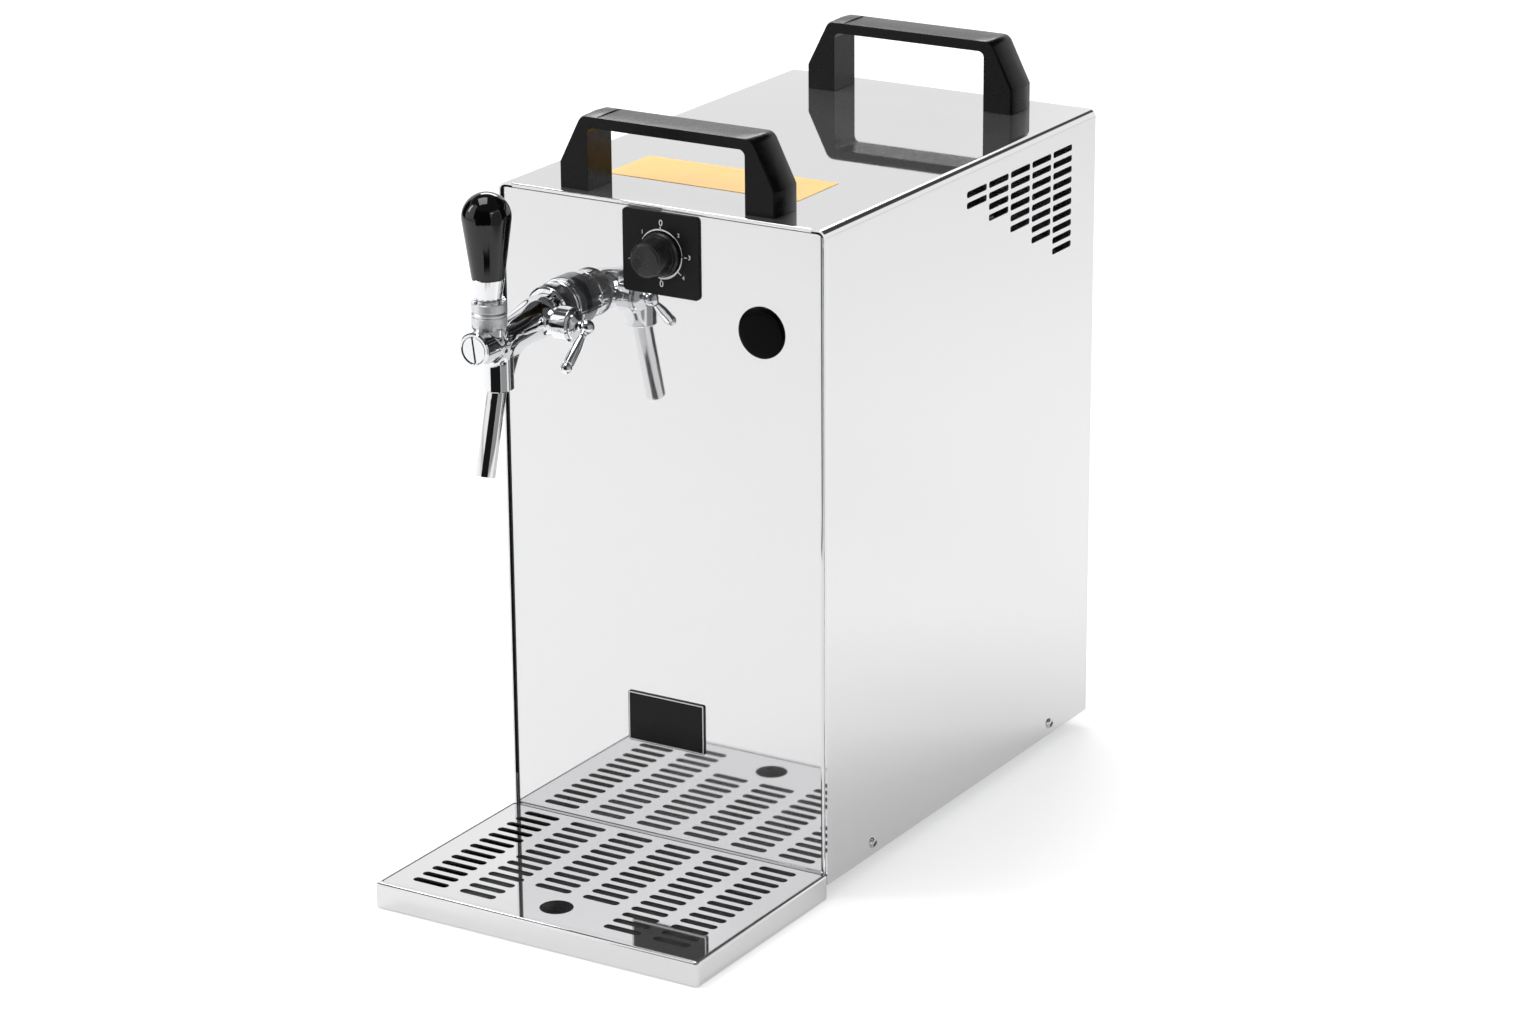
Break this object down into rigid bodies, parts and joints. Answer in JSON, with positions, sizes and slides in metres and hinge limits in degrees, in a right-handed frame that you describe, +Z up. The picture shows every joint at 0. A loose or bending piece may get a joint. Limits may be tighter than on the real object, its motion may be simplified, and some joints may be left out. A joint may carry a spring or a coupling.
{
  "type": "countertop beer cooler with tap",
  "caption": "Compact countertop beer cooler: stainless box with bridge handles, a lever tap with flow compensator, a thermostat dial and a slotted drip tray in front.",
  "frame": {"origin": "middle of the whole outline in plan, on the surface that the cooler and its tray stand on", "axes": "+Z up, -Y towards the person who pulls the beer, +X to their right when facing the tap"},
  "size_m": [0.176, 0.389, 0.3515],
  "materials": {
    "polished_stainless": "polished, nearly mirror bright",
    "satin_stainless": "soft satin",
    "galvanised_steel": "dull zinc",
    "plated_screws": "bright plating",
    "chrome": "mirror chrome",
    "tap_stainless": "bright drawn",
    "black_grip": "gloss",
    "black_nylon": "satin moulded",
    "black_plastic": "satin",
    "white_plastic": "gloss",
    "shaft_steel": "turned",
    "black_badge": "gloss, with a thin silver border",
    "yellow_label": "satin film",
    "black_rubber": "matt",
    "cast_aluminium": "as cast",
    "copper": "bright copper tube",
    "black_enamel": "semi-gloss",
    "foam": "matt rigid foam",
    "beer_tube": "translucent"
  },
  "bodies": {
    "cabinet": {"casing_cover": "polished_stainless", "front_panel": "polished_stainless", "rear_panel": "satin_stainless", "base_pan": "galvanised_steel", "fan_bracket": "galvanised_steel", "cover_screws": "plated_screws", "foot_screws": "plated_screws", "handle_screws": "plated_screws", "shank_nut": "plated_screws", "tap_rosette": "chrome", "coupling_nut": "chrome", "tap_body": "chrome", "front_cap": "chrome", "lever_bonnet": "chrome", "compensator_housing": "chrome", "spout_tube": "tap_stainless", "tap_shank": "tap_stainless", "front_handle": "black_nylon", "rear_handle": "black_nylon", "blanking_plug": "black_plastic", "thermostat_plate": "black_plastic", "thermostat_body": "black_plastic", "cable_gland": "black_plastic", "gland_nut": "black_plastic", "relay_box": "black_plastic", "inlet_fitting": "white_plastic", "inlet_nut": "white_plastic", "fan_motor": "shaft_steel", "badge_plate": "black_badge", "top_label": "yellow_label", "rubber_feet": "black_rubber", "compressor_mounts": "black_rubber", "cooling_block": "cast_aluminium", "condenser_fins": "cast_aluminium", "condenser_tube": "copper", "suction_pipe": "copper", "discharge_pipe": "copper", "liquid_pipe": "copper", "filter_drier": "copper", "capillary_tube": "copper", "compressor": "black_enamel", "insulation": "foam", "beer_outlet_tube": "beer_tube", "beer_inlet_tube": "beer_tube"},
    "tap_lever": {"lever_stem": "tap_stainless", "lever_nut": "chrome", "lever_ferrule": "chrome", "lever_grip": "black_grip"},
    "valve_spool": {"valve_piston": "tap_stainless", "valve_seal": "black_rubber"},
    "compensator_arm": {"compensator_lever": "chrome", "compensator_spindle": "tap_stainless"},
    "flow_cone": {"compensator_cone": "white_plastic"},
    "thermostat_dial": {"thermostat_knob": "black_plastic", "thermostat_shaft": "shaft_steel"},
    "fan": {"fan_rotor": "black_plastic"},
    "drip_pan": {"drip_tray": "polished_stainless"},
    "drip_deck": {"drip_grille": "polished_stainless"},
    "release_ring": {"inlet_collet": "white_plastic"}
  },
  "joints": [
    {"name": "lever_swing", "type": "hinge", "parent": "cabinet", "child": "tap_lever", "pos_m": [-0.0485, -0.1457, 0.2715], "axis": [1, 0, 0], "range_deg": [-12, 24]},
    {"name": "valve_stroke", "type": "slide", "parent": "cabinet", "child": "valve_spool", "axis": [0, 1, 0], "range_m": [-0.0015, 0.0029]},
    {"name": "compensator_turn", "type": "hinge", "parent": "cabinet", "child": "compensator_arm", "pos_m": [-0.0485, -0.1081, 0.2638], "axis": [1, 0, 0], "range_deg": [-45, 45]},
    {"name": "cone_stroke", "type": "slide", "parent": "cabinet", "child": "flow_cone", "axis": [0, -1, 0], "range_m": [-0.0014, 0.0014]},
    {"name": "thermostat_turn", "type": "hinge", "parent": "cabinet", "child": "thermostat_dial", "pos_m": [0.0015, -0.0815, 0.2947], "axis": [0, 1, 0], "range_deg": [0, 300]},
    {"name": "fan_spin", "type": "hinge", "parent": "cabinet", "child": "fan", "pos_m": [0, 0.1535, 0.215], "axis": [0, 1, 0], "continuous": true},
    {"name": "tray_pull", "type": "slide", "parent": "cabinet", "child": "drip_pan", "axis": [0, -1, 0], "range_m": [0, 0.12]},
    {"name": "deck_lift", "type": "slide", "parent": "drip_pan", "child": "drip_deck", "axis": [0, 0, 1], "range_m": [0, 0.06]},
    {"name": "collet_push", "type": "slide", "parent": "cabinet", "child": "release_ring", "axis": [0, -1, 0], "range_m": [0, 0.0015], "stiffness_N_per_m": 400}
  ],
  "couplings": [
    {"joint": "valve_stroke", "follows": "lever_swing", "m_per_rad": 0.0063},
    {"joint": "cone_stroke", "follows": "compensator_turn", "m_per_rad": 0.0015}
  ]
}
